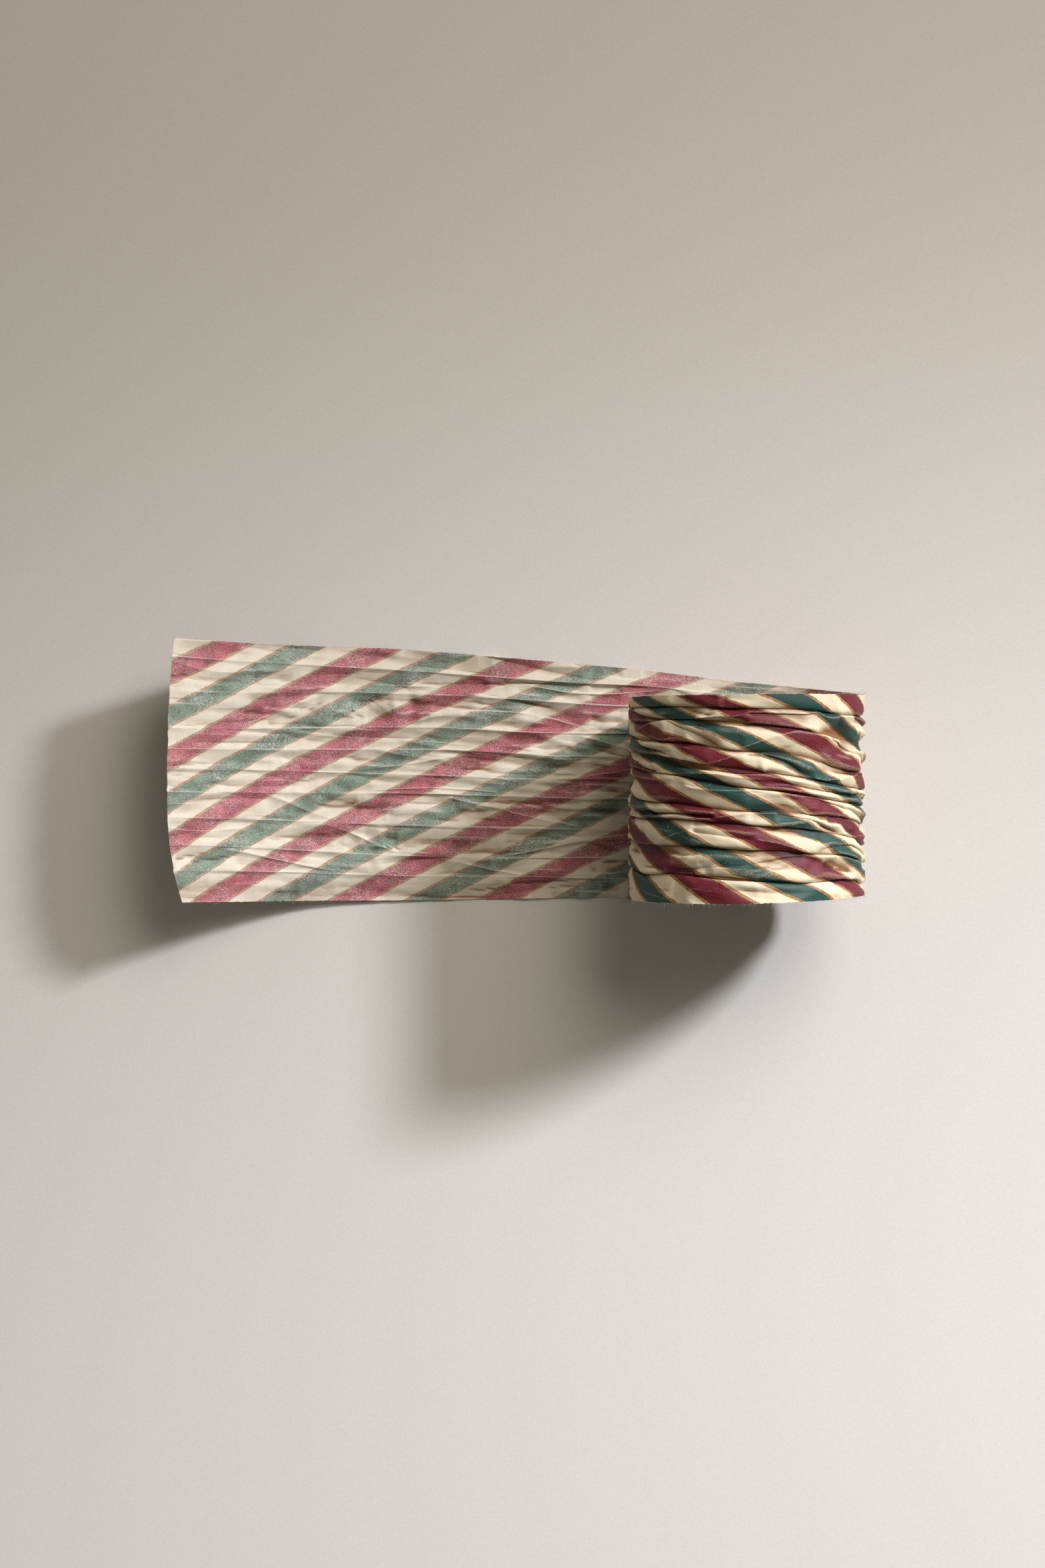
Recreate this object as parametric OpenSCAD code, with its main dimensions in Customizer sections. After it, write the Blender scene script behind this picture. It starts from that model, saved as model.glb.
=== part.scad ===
// Roll of crinkled gift-wrapping ribbon: a paper strip wound on a cardboard tube,
// lying on its side with the loose tail drawn out from underneath.
// Frame: origin at the centre of the tube's bore, +Y along the tube, +Z up,
// the tail towards -X. Millimetres.

/* [Core tube] */
// Diameter of the bore that takes a spindle
core_bore_d = 38; // [25:0.5:50]
// Thickness of one spiral-wound cardboard ply
ply_t = 0.5; // [0.3:0.1:1]
// Film of glue between two plies
glue_t = 0.05; // [0.02:0.01:0.1]
// Length of the tube
core_len = 72; // [40:1:120]

/* [Starting tape] */
// Width of the double-sided tape, measured round the tube
tape_w = 12; // [6:1:20]
// Length of the tape along the tube
tape_l = 60; // [20:1:66]
// Thickness of the tape
tape_t = 0.2; // [0.1:0.05:0.3]

/* [Wound ribbon] */
// Width of the ribbon where it is gathered on the roll
wound_w = 72; // [40:1:120]
// Number of turns inside the outermost one
turn_count = 15; // [6:1:30]
// Radial room that one gathered turn takes
turn_pitch = 1.2; // [0.8:0.05:2]
// Most that the edge of a turn stands back from the roll's end
edge_back = 1.2; // [0.2:0.1:3]

/* [Outermost turn] */
// Height of its deep folds, from crest to trough
fold_h = 3; // [1:0.1:4]
// Gap left under the roll between the turn's inner end and its start, in degrees
nip_angle = 8; // [4:1:20]

/* [Tail] */
// Thickness of the flattened ribbon, from crest to trough of its creases
tail_t = 1.2; // [0.6:0.1:2]
// Width of the ribbon where it leaves the roll
run_w = 80; // [50:1:120]
// Width of the ribbon at its free end
tail_w = 95.5; // [60:0.5:130]
// Sideways drift of the tail's centre line where it leaves the roll
run_drift = 3; // [0:0.5:10]
// Sideways drift of the tail's centre line at the free end
tail_drift = 9.8; // [0:0.2:20]
// Length of the stretch that always lies flat, from under the roll's centre
run_l = 92; // [60:1:200]
// Length of the flat part of the stretch that lifts
lift_flat_l = 37; // [5:1:100]
// Radius of the upward bend, on the ribbon's top side
bend_r = 98; // [60:1:200]
// Slope that the bend has reached where the free end begins
curl_angle = 20; // [10:1:40]
// Slope of the ribbon at its free edge
end_angle = 50; // [45:1:80]

/* [Clearances] */
// Radial clearance between pieces that turn on each other
turn_gap = 0.3; // [0.3:0.05:1]
// Clearance round the starting tape
tape_gap = 0.05; // [0.02:0.01:0.2]
// Gap between two stretches of the tail at a bend line
bend_gap = 1; // [0.8:0.1:2]

/* [Hidden] */
$fn = 120;

kraft = [0.66, 0.50, 0.34];
kraft_light = [0.76, 0.62, 0.45];
tape_white = [0.93, 0.92, 0.88];
cream = [0.88, 0.80, 0.62];
cream_pale = [0.90, 0.85, 0.73];

// Tube: each ply is wound on the one inside it, with a film of glue between.
bore_r = core_bore_d / 2;
function ply_r(i) = bore_r + i * (ply_t + glue_t);
core_out_r = ply_r(2) + ply_t;

// Tape and wound ribbon fill the room outside the tube.
tape_r = core_out_r + tape_gap;
wound_in_r = tape_r + tape_t + tape_gap;
wound_out_r = wound_in_r + turn_count * turn_pitch;

// The outermost turn is a spiral: its inner end clears the wound ribbon, and its start
// passes under that end by the thickness of the run.
turn_end_r = wound_out_r + turn_gap + fold_h;
turn_start_r = turn_end_r + tail_t + turn_gap;
table_z = -turn_start_r;
turn_step = 5;
turn_from = -90;
turn_to = 270 - nip_angle;
function turn_r(a) = turn_start_r + (turn_end_r - turn_start_r) * (a - turn_from) / 360;

// Tail, from the roll outwards: run, lifting stretch, and the free end up the same bend.
lift_x = -run_l;
bend_x = lift_x - bend_gap - lift_flat_l;
bend_gap_angle = bend_gap / bend_r * 180 / PI;
reach_x = bend_x - bend_r * sin(end_angle);
widest = 2 * (tail_w + tail_drift);

// Edges of the strip seen from above: y on the side given by sign, at x. The gathers
// let go quickly near the roll and slowly towards the free end.
outline_steps = 12;
function spread(x) = 1 - pow(1 - x / reach_x, 2);
function edge_y(x, sign) =
    run_drift + (tail_drift - run_drift) * spread(x)
    + sign * (run_w + (tail_w - run_w) * spread(x)) / 2;

module along_y() {
    rotate([90, 0, 0]) children();
}

module tube(inner_r, outer_r, length) {
    along_y() difference() {
        cylinder(r = outer_r, h = length, center = true);
        cylinder(r = inner_r, h = length + 2, center = true);
    }
}

module core_ply(i) {
    tube(ply_r(i), ply_r(i) + ply_t, core_len);
}

module core_inner_ply() {
    color(kraft_light) core_ply(0);
}

module core_middle_ply() {
    color(kraft) core_ply(1);
}

module core_outer_ply() {
    color(kraft) core_ply(2);
}

// A strip of double-sided tape along the top of the tube holds the ribbon's inner end.
module start_tape() {
    sweep = tape_w / tape_r * 180 / PI;
    color(tape_white) along_y() rotate([0, 0, 90 - sweep / 2]) rotate_extrude(angle = sweep)
        translate([tape_r, -tape_l / 2]) square([tape_t, tape_l]);
}

// Each turn's edge stands back by its own amount, as the turns of a real roll do.
function turn_half(i, phase) = wound_w / 2 - edge_back * (0.5 + 0.5 * sin(i * 137.5 + phase));

module wound_ribbon() {
    color(cream) along_y() rotate_extrude() polygon(concat(
        [for (i = [0 : turn_count - 1], k = [0, 1])
            [wound_in_r + (i + k) * turn_pitch, turn_half(i, 0)]],
        [for (i = [turn_count - 1 : -1 : 0], k = [1, 0])
            [wound_in_r + (i + k) * turn_pitch, -turn_half(i, 90)]]
    ));
}

module turn_band() {
    steps = floor((turn_to - turn_from) / turn_step);
    angles = [for (i = [0 : steps]) turn_from + (turn_to - turn_from) * i / steps];
    along_y() linear_extrude(height = widest, center = true) polygon(concat(
        [for (a = angles) turn_r(a) * [cos(a), sin(a)]],
        [for (i = [steps : -1 : 0]) (turn_r(angles[i]) - fold_h) * [cos(angles[i]), sin(angles[i])]]
    ));
}

// The turn's outline seen from the side: as wide as the run at the table, and gathered
// to the roll's width by mid height.
module turn_outline() {
    rotate([90, 0, 90]) linear_extrude(height = 2 * turn_start_r + 2, center = true) polygon([
        [edge_y(0, -1), table_z], [-wound_w / 2, 0], [-wound_w / 2, turn_start_r],
        [wound_w / 2, turn_start_r], [wound_w / 2, 0], [edge_y(0, 1), table_z]
    ]);
}

module outer_turn() {
    color(cream) intersection() {
        turn_band();
        turn_outline();
    }
}

// The strip's outline seen from above, as a tall prism that trims every stretch of the tail.
module strip_outline() {
    xs = [for (i = [0 : outline_steps]) reach_x * i / outline_steps];
    translate([0, 0, table_z - 1]) linear_extrude(height = turn_start_r * 2) polygon(concat(
        [for (x = xs) [x, edge_y(x, 1)]],
        [for (i = [outline_steps : -1 : 0]) [xs[i], edge_y(xs[i], -1)]]
    ));
}

// A flat stretch of ribbon from x_far to x_near, lying on the table.
module flat_stretch(x_far, x_near) {
    translate([x_far, -widest / 2, table_z]) cube([x_near - x_far, widest, tail_t]);
}

module ribbon_run() {
    color(cream_pale) intersection() {
        flat_stretch(lift_x, 0);
        strip_outline();
    }
}

// The part of the upward bend between two slopes.
module bend(from, to) {
    translate([bend_x, 0, table_z + tail_t + bend_r]) along_y() rotate([0, 0, -90 - to])
        rotate_extrude(angle = to - from, $fn = 240)
            translate([bend_r, -widest / 2]) square([tail_t, widest]);
}

module tail_middle() {
    color(cream_pale) intersection() {
        union() {
            flat_stretch(bend_x, lift_x - bend_gap);
            bend(0, curl_angle);
        }
        strip_outline();
    }
}

module tail_end() {
    color(cream_pale) intersection() {
        bend(curl_angle + bend_gap_angle, end_angle);
        strip_outline();
    }
}

core_inner_ply();
core_middle_ply();
core_outer_ply();
start_tape();
wound_ribbon();
outer_turn();
ribbon_run();
tail_middle();
tail_end();
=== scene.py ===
# %% [markdown]
# # A roll of crinkled wrapping ribbon
# The real object is one long strip of gift-wrapping paper, 10 cm wide, gathered widthwise into folds that
# run along it, and wound on a cardboard tube. It lies on its side, and its loose tail comes out from under
# the roll and curls up at the end. The roll shows the printed side, the tail the plain back of the paper.
#
# The CAD frame already fixes every size and joint, so this script only builds the looks around it.
# Lengths below are in millimetres, and each mesh is turned into Blender's metres as it is made.

# %% Tools and frame
import math

import bpy
import numpy as np
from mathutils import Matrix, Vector


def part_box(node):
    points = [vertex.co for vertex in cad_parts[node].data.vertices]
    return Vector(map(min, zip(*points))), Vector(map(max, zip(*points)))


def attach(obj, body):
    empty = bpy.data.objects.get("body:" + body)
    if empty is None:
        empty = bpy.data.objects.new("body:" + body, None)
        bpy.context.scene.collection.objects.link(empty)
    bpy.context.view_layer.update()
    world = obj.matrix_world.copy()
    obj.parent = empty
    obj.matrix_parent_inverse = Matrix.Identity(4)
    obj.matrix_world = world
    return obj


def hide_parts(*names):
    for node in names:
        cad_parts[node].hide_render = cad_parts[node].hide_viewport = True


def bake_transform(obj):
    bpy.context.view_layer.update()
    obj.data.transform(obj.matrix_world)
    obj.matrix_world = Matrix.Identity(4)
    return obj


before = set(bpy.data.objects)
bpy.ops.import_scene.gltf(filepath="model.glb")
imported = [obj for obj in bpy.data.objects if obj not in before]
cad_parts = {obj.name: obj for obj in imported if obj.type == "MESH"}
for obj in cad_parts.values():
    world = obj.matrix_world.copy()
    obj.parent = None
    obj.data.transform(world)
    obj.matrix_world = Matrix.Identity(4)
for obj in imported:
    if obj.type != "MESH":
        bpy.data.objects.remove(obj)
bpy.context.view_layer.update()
MM = 0.001
print("nodes:", sorted(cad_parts))

# %% [markdown]
# ## Sizes taken from the frame
# Everything hangs on a few numbers that the CAD boxes and joints give: where the table is, how thick the
# roll is, where the tail bends. Reading them here keeps the paper on its CAD solids when those change.

# %% Driving sizes


def corner(node, axis, side):
    """One coordinate of a CAD node's box, in millimetres: side 0 is the low corner, 1 the high one."""
    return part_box(node)[side][axis] / MM


TABLE = corner("ribbon_run", 2, 0)
FREE_X = corner("tail_end", 0, 0)
COIL_R = corner("wound_ribbon", 0, 1)
TAPE_R = corner("start_tape", 2, 1)
TAPE_REACH = math.asin(corner("start_tape", 0, 1) / TAPE_R)
TURN_FROM_R = -TABLE
TURN_SHRINK = 2 * (TURN_FROM_R - corner("outer_turn", 2, 1))
# These three repeat the CAD's own values: the tail's thickness, the radius of its bend's lower side and the
# slope at its free edge.
TAIL_T = 1.2
BEND_R = 98 + TAIL_T
END_SLOPE = math.radians(50)
BEND_X = FREE_X + (BEND_R - TAIL_T) * math.sin(END_SLOPE)
print(f"table at {TABLE:.2f}, bend from x {BEND_X:.1f}, coil radius {COIL_R:.2f}")

# %% [markdown]
# ## Camera
# The roll is seen from straight above, so the camera looks down -Z with +Y at the top of the picture.

# %% Camera
CAMERA_AT = (-79.8, 4.8, 1200.0)
SENSOR, LENS = 36, 76.8
camera = bpy.data.objects.new("camera", bpy.data.cameras.new("camera"))
camera.location = [c * MM for c in CAMERA_AT]
camera.rotation_euler = (0, 0, 0)
camera.data.sensor_width = SENSOR
camera.data.lens = LENS
bpy.context.collection.objects.link(camera)
bpy.context.scene.camera = camera
print(f"camera {CAMERA_AT[2]:.0f} mm above the level of the roll's axis")

# %% [markdown]
# ## The way the strip takes
# Seen from the end, the strip is a line: up the bend at its free end, flat along the table, then once
# round the roll on a slowly closing spiral. A place on it is given by u, the length from the free end,
# and by its depth inside the outer envelope, which is what the table and the roll's outside touch.

# %% Route of the strip
# Depth of the paper's middle on the tail and on the roll, which its length is counted at.
NOMINAL_DEPTH = 0.6
FOLD_DEPTH = 1.5
ARC_LENGTH = (BEND_R - NOMINAL_DEPTH) * END_SLOPE
ROLL_U = ARC_LENGTH - BEND_X
TURN_ANGLE = math.radians(352)


def envelope_r(angle):
    """Outer radius of the outermost turn, by the angle turned since the table."""
    return TURN_FROM_R - TURN_SHRINK * angle / (2 * math.pi)


turned = np.linspace(0, TURN_ANGLE, 400)
turn_length = np.concatenate([[0], np.cumsum((envelope_r(turned[1:]) - FOLD_DEPTH) * np.diff(turned))])
END_U = ROLL_U + turn_length[-1]


def route(u, depth):
    """Point in the XZ plane at length u and that depth, and the way out to the printed side."""
    slope = np.clip(END_SLOPE - u / (BEND_R - NOMINAL_DEPTH), 0, None)
    x = BEND_X - (BEND_R - depth) * np.sin(slope) + np.clip(u - ARC_LENGTH, 0, ROLL_U - ARC_LENGTH)
    z = TABLE + BEND_R - (BEND_R - depth) * np.cos(slope)
    angle = np.interp(u - ROLL_U, turn_length, turned)
    radius = envelope_r(angle) - depth
    rolled = u > ROLL_U
    x = np.where(rolled, radius * np.sin(angle), x)
    z = np.where(rolled, -radius * np.cos(angle), z)
    out_x = np.where(rolled, np.sin(angle), -np.sin(slope))
    out_z = np.where(rolled, -np.cos(angle), -np.cos(slope))
    return x, z, out_x, out_z


print(f"the strip is {END_U:.0f} mm long from its free end to the nip, {ROLL_U:.0f} of it tail")

# %% [markdown]
# ## Folds
# Gathered paper doesn't stretch. Across the strip it is a chain of bulges that meet in sharp valleys, and
# the tighter it is gathered, the more steeply each bulge rises. So the folds are not drawn as heights but as
# tilt: each bulge goes from tilting up to tilting down, and the surface is the running sum of cos(tilt)
# sideways and sin(tilt) outwards. One number for each bulge of a row scales its tilts until the bulge is as
# narrow as it should be there.

# %% Strip across and along
FLAT_W = 98.0
FOLDS = 10
COLUMNS = 20
rng = np.random.default_rng(41)


def smooth(t):
    """0 to 1 as t goes from 0 to 1, with soft ends."""
    t = np.clip(t, 0, 1)
    return t * t * (3 - 2 * t)


def wander(u, step):
    """A smooth random line between -1 and 1 that changes over about step millimetres."""
    knots = rng.uniform(-1, 1, int(u.max() / step) + 3)
    at = np.clip(u, 0, None) / step
    low = np.floor(at).astype(int)
    part = smooth(at - low)
    return knots[low] * (1 - part) + knots[low + 1] * part


def soft_line(u, points, reach=14.0):
    """The broken line through the (u, value) points, with its corners rounded over reach."""
    fine = np.arange(-4 * reach, END_U + 4 * reach, 1.0)
    values = np.interp(fine, *zip(*points))
    kernel = np.exp(-0.5 * (np.arange(-3 * reach, 3 * reach + 1) / reach) ** 2)
    values = np.convolve(np.pad(values, len(kernel) // 2, mode="edge"), kernel / kernel.sum(), "valid")
    return np.interp(u, fine, values)


def evenly(start, end, count):
    """The places of that many rows, without the first one, which the stretch before it ends on."""
    return np.linspace(start, end, count + 1)[1:]


# Rows stand closest where the strip is seen best. It is cut into pieces at TAIL_CUT and RUN_CUT.
TAIL_CUT, RUN_CUT, UNDER_ROLL, PAST_TOP = 76, 186, 268, 434
TAIL_END_ROW = 108
RUN_END_ROW = TAIL_END_ROW + 150
u = np.concatenate([
    [0.0], evenly(0, TAIL_CUT, TAIL_END_ROW), evenly(TAIL_CUT, RUN_CUT, RUN_END_ROW - TAIL_END_ROW),
    evenly(RUN_CUT, UNDER_ROLL, 38), evenly(UNDER_ROLL, PAST_TOP, 172), evenly(PAST_TOP, END_U, 21),
])
GATHER_FROM, GATHER_OVER = 150, 100
gathered = smooth((u - GATHER_FROM) / GATHER_OVER)

strip_w = soft_line(u, [(0, 95.7), (91, 93.6), (175, 85), (ROLL_U, 80), (250, 74.5), (284, 71),
                        (351, 72.7), (END_U, 72)])
strip_mid = soft_line(u, [(0, 9.8), (91, 8.5), (175, 5.2), (ROLL_U, 3), (250, 1.8), (284, 0.9),
                          (351, -0.6), (END_U, -0.4)])
print(f"{len(u)} rows, strip {strip_w.min():.1f} to {strip_w.max():.1f} mm wide")

# %% [markdown]
# The valleys between the bulges are long lines that wander along the strip and sag together where the strip
# turns up round the roll. A bulge's width changes slowly on the tail and more quickly where it is gathered.

# %% Long fold lines
bulge_w = np.array([
    np.exp(0.38 * wander(u, 120) + gathered * (0.35 * wander(u, 60) + 0.14 * wander(u, 22)))
    for _ in range(FOLDS)
])
bulge_w[[0, -1]] *= 0.8
lines = np.vstack([np.zeros(len(u)), np.cumsum(bulge_w, axis=0) / bulge_w.sum(axis=0)])
sag = soft_line(u, [(0, 0), (225, 0), (272, -11), (425, 12), (END_U, 9)], reach=14) / FLAT_W
lines = (lines + sag * 4 * lines * (1 - lines)).T * FLAT_W
print(f"fold lines are {np.diff(lines, axis=1).min():.1f} to {np.diff(lines, axis=1).max():.1f} mm apart")

# %% [markdown]
# A gathered fold seldom runs on alone. Shorter creases start inside it, often at a crisp pointed tuck, and
# die out slowly or run into the next valley. Each bulge gets a chain of them, at random places.

# %% Second folds between the long ones


def second_fold(u):
    """Place (as a share of the bulge) and strength of the shorter creases inside one bulge."""
    place, strength = np.full(len(u), np.nan), np.zeros(len(u))
    start = rng.uniform(-40, 15)
    while start < END_U:
        length = rng.uniform(26, 80)
        t = (u - start) / length
        inside = (t > 0) & (t < 1)
        rolled = start > ROLL_U
        often = [0.52, 0.08, 0.12, 0.28] if rolled else [0.27, 0.27, 0.16, 0.3]
        kind = rng.choice(["up", "down", "lens", "fade"], p=often)
        side, middle = rng.choice([0.0, 1.0]), rng.uniform(0.3, 0.7)
        ways = {
            "up": smooth(t), "down": 1 - smooth(t), "fade": middle + rng.uniform(-0.25, 0.25) * (t - 0.5),
            "lens": side + (middle - side) * np.sin(np.pi * np.clip(t, 0, 1)),
        }
        crisp, slow = rng.uniform(1.5, 3.5) * (1 if rolled else 4) / length, rng.uniform(0.25, 0.45)
        if rng.random() < 0.5:
            crisp, slow = slow, crisp
        fade = smooth(t / crisp) * smooth((1 - t) / slow)
        full = rng.uniform(0.7, 1.0)
        place = np.where(inside, ways[kind], place)
        strength = np.where(inside, full * fade, strength)
        start += length + (rng.uniform(6, 26) if rolled else rng.uniform(12, 24))
    known = ~np.isnan(place)
    place = np.interp(u, u[known], place[known])
    apart = np.minimum(place, 1 - place)
    return np.clip(place, 0.07, 0.93), strength * smooth(apart / 0.15)


def arch(t, crest, facet, pinch):
    """Running sum of the tilt across one bulge. The facet share of each side's slope is flat, and the rest
    steepens towards the valleys."""

    def climb(off):
        return facet * off + (1 - facet) * off ** (pinch + 1) / (pinch + 1)

    side = np.where(t < crest, crest, 1 - crest)
    return crest * climb(1) - side * climb(np.abs(crest - t) / side)


HALF = COLUMNS // 2
steps = np.arange(HALF + 1) / HALF
denser = steps - 0.4 * np.sin(2 * np.pi * steps) / (2 * np.pi)
tilts, shares = [], []
for fold in range(FOLDS):
    place, strength = (a[:, None] for a in second_fold(u))
    facet = (gathered * (0.74 + 0.18 * wander(u, 34)))[:, None]
    pinch = (0.75 + 3.0 * gathered + 0.3 * wander(u, 34))[:, None]
    marks = np.hstack([place * denser, place + (1 - place) * denser[1:]])
    whole = arch(marks, place, facet, pinch)
    crest = (0.5 - 0.18 * gathered + 0.2 * wander(u, 30))[:, None]
    left = place * arch(np.minimum(marks / place, 1), crest, facet, pinch)
    right = (1 - place) * arch(np.maximum((marks - place) / (1 - place), 0), crest, facet, pinch)
    tilt = np.diff(whole * (1 - strength) + (left + right) * strength, axis=1) / np.diff(marks)
    middle = (marks[:, 1:] + marks[:, :-1]) / 2
    if fold == 0:
        tilt = -middle ** (1.5 + 2 * gathered[:, None])
    if fold == FOLDS - 1:
        tilt = (1 - middle) ** (1.5 + 2 * gathered[:, None])
    tilts.append(tilt)
    shares.append(np.diff(marks))
tilt = np.concatenate(tilts, axis=1)

gaps = np.diff(lines, axis=1)
dv = (gaps[:, :, None] * np.stack(shares, axis=1)).reshape(len(u), -1)
v = np.concatenate([np.zeros((len(u), 1)), np.cumsum(dv, axis=1)], axis=1)
v_mid = (v[:, 1:] + v[:, :-1]) / 2
print(f"{FOLDS} long folds, {tilt.shape[0]} rows of {tilt.shape[1]} steps")

# %% [markdown]
# ## Small creases
# Handling leaves the paper full of short creases, sharp on one line and gone a millimetre or two beside it.
# Most run nearly along the folds and a few cut across them. They are extra tilt, in radians, that is added
# before the gathering is solved, so they share in it and bend the print with them.

# %% Small creases
CREASES = 800
SLANT_ON_ROLL = 0.18
STRONGER_ON_TAIL = 1.35


def crease(at_u, at_v, half, slant, turn, reach):
    """A jump in the tilt along a short slanted line, fading to its ends and to both sides."""
    along = (u - at_u) / half
    rows = np.abs(along) < 1
    side = v_mid[rows] - (at_v + slant * (u[rows] - at_u))[:, None]
    window = (1 - along[rows] ** 2)[:, None]
    soft = 0.32 + 0.6 * abs(slant)
    return rows, turn * window * np.tanh(side / soft) * np.exp(-np.abs(side) / reach)


creased = np.zeros_like(tilt)
for _ in range(CREASES):
    at = rng.uniform(0, END_U)
    rolled = at > ROLL_U + 20
    steep_one = rng.random() < (0.18 if rolled else 0.07)
    slant = rng.choice([-1, 1]) * rng.uniform(0.4, 1.5) if steep_one else rng.normal(-0.03, 0.09)
    slant += SLANT_ON_ROLL * rolled
    half = rng.uniform(3, 7) if steep_one else rng.uniform(8, 32)
    across = rng.uniform(1, 99)
    turn = rng.choice([-1, 1]) * rng.uniform(0.2, 0.56)
    if not (rolled or steep_one):
        turn *= STRONGER_ON_TAIL
    rows, more = crease(at, across, half, slant, turn, rng.uniform(0.9, 3.0))
    creased[rows] += more
print(f"{CREASES} creases, up to {math.degrees(np.abs(creased).max()):.0f} degrees before they are calmed")

# %% [markdown]
# Now each bulge is brought to its width. A bigger scale on its tilts always makes it narrower, so the right
# one is found by halving the range it can be in. Some bulges give more of the lost width than others, and the
# two outer ones give least, as the free edges of gathered paper lie flatter.

# %% Gathered to width
STEEPEST = math.radians(86)
CREASE_SHARE = 0.6
MOST_SCALE = 8.0
HALVINGS = 24


def gather(tilt, creased, dv, widths):
    """The tilts, scaled bulge by bulge in every row so that each is as wide as widths says. Creases that
    would take up more than CREASE_SHARE of the width there is to spare are calmed first."""
    shape = (*widths.shape, -1)
    tilt, creased, dv = tilt.reshape(shape), creased.reshape(shape), dv.reshape(shape)
    whole = dv.sum(axis=2)
    taken = ((1 - np.cos(creased)) * dv).sum(axis=2) + 1e-6
    creased = creased * np.sqrt(np.clip(CREASE_SHARE * (whole - widths) / taken, 0, 1))[..., None]
    low, high = np.zeros(widths.shape), np.full(widths.shape, MOST_SCALE)
    for _ in range(HALVINGS):
        scale = (low + high) / 2
        tried = np.clip(tilt * scale[..., None] + creased, -STEEPEST, STEEPEST)
        wide = (np.cos(tried) * dv).sum(axis=2) > widths
        low, high = np.where(wide, scale, low), np.where(wide, high, scale)
    return tried.reshape(len(widths), -1)


lost = np.array([np.exp(0.35 * wander(u, 38)) for _ in range(FOLDS)]).T
lost[:, [0, -1]] *= 0.6
lost *= (FLAT_W / (lost * gaps).sum(axis=1))[:, None]
tilt = gather(tilt, creased, dv, gaps * (1 - (1 - strip_w / FLAT_W)[:, None] * lost))
y = np.concatenate([np.zeros((len(u), 1)), np.cumsum(np.cos(tilt) * dv, axis=1)], axis=1)
height = np.concatenate([np.zeros((len(u), 1)), np.cumsum(np.sin(tilt) * dv, axis=1)], axis=1)
print(f"off its width by {np.abs(y[:, -1] - strip_w).max():.2f} mm at most")
y += (strip_mid + 0.25 * wander(u, 30) - y[:, -1] / 2)[:, None]

# %% [markdown]
# Summed tilts drift, so the valleys are brought back to nearly one level, each with a little of its own. The
# bulges are then raised by up to TALLER_TAIL or TALLER_ROLL times, for folds as bold as the real ones. So the
# sheet's area differs by a few parts in a hundred from that of flat paper.

# %% Valleys levelled
TALLER_TAIL, TALLER_ROLL = 1.6, 1.8
tallest = soft_line(u, [(0, 2.3), (180, 2.3), (200, 1.2), (236, 1.2), (262, 2.6), (END_U, 2.6)], reach=6)
valley = height[:, COLUMNS:-1:COLUMNS]
level = np.array([0.14 * wander(u, 30) for _ in range(FOLDS - 1)]).T * (0.3 + 0.7 * gathered)[:, None]
floor_line = np.array([np.interp(v[row], v[row, COLUMNS:-1:COLUMNS], valley[row]) for row in range(len(u))])
new_line = np.array([np.interp(v[row], v[row, COLUMNS:-1:COLUMNS], level[row]) for row in range(len(u))])
rise = height - floor_line
raw_peak = np.array([np.abs(rise[:, b * COLUMNS:(b + 1) * COLUMNS + 1]).max(axis=1) for b in range(FOLDS)]).T
limit = (tallest * np.array([0.87 + 0.13 * wander(u, 25) for _ in range(FOLDS)])).T
taller = TALLER_TAIL + (TALLER_ROLL - TALLER_TAIL) * gathered[:, None]
factor = np.minimum(taller, limit / raw_peak)
height = new_line.copy()
for b in range(FOLDS):
    inside = slice(b * COLUMNS + (b > 0), (b + 1) * COLUMNS + 1)
    height[:, inside] += rise[:, inside] * factor[:, b:b + 1]
print(f"folds are {np.ptp(height, axis=1)[-100:].mean():.2f} mm deep on the roll,",
      f"{np.ptp(height, axis=1)[:100].mean():.2f} on the tail, raw peaks {raw_peak.mean():.2f}")

# %% [markdown]
# The strip lies on its crests, so each row is moved in until the highest crests near it touch the table or
# the roll's outside. The line of the crests is smoothed along the strip, so that no row stands out.

# %% Crests touch the envelope
PAPER = 0.11
DEEPEST = 2.95
FOLD_SLACK, TOUCH_GAP = 0.05, 0.02
CREST_REACH = 12
# The deepest valleys stop at the turn underneath, which they rest on.
TURN_ROOM = 3.15


def spread_max(values, reach):
    """Largest of the values within reach of each u, then smoothed over the same reach."""
    near = np.abs(u[:, None] - u[None, :]) < reach
    most = np.where(near, values[None, :], -1e9).max(axis=1)
    weight = near * np.exp(-0.5 * ((u[:, None] - u[None, :]) / (reach / 2)) ** 2)
    return (weight * most).sum(axis=1) / weight.sum(axis=1)


low_side = height.min(axis=1, keepdims=True)
height = np.minimum(height, low_side + DEEPEST - PAPER - FOLD_SLACK)
depth = spread_max(height.max(axis=1), CREST_REACH) + PAPER / 2 + TOUCH_GAP
height = np.maximum(height, depth[:, None] - TURN_ROOM)
print(f"deepest point {(depth[:, None] - height).max():.2f} mm inside the envelope")

# %% [markdown]
# The free end was cut by hand, so it is a bowed and slightly ragged line, and the long edges are a little
# fuzzy. The gathers also drag the print along the strip here and there, and pulled says by how much.

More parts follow.
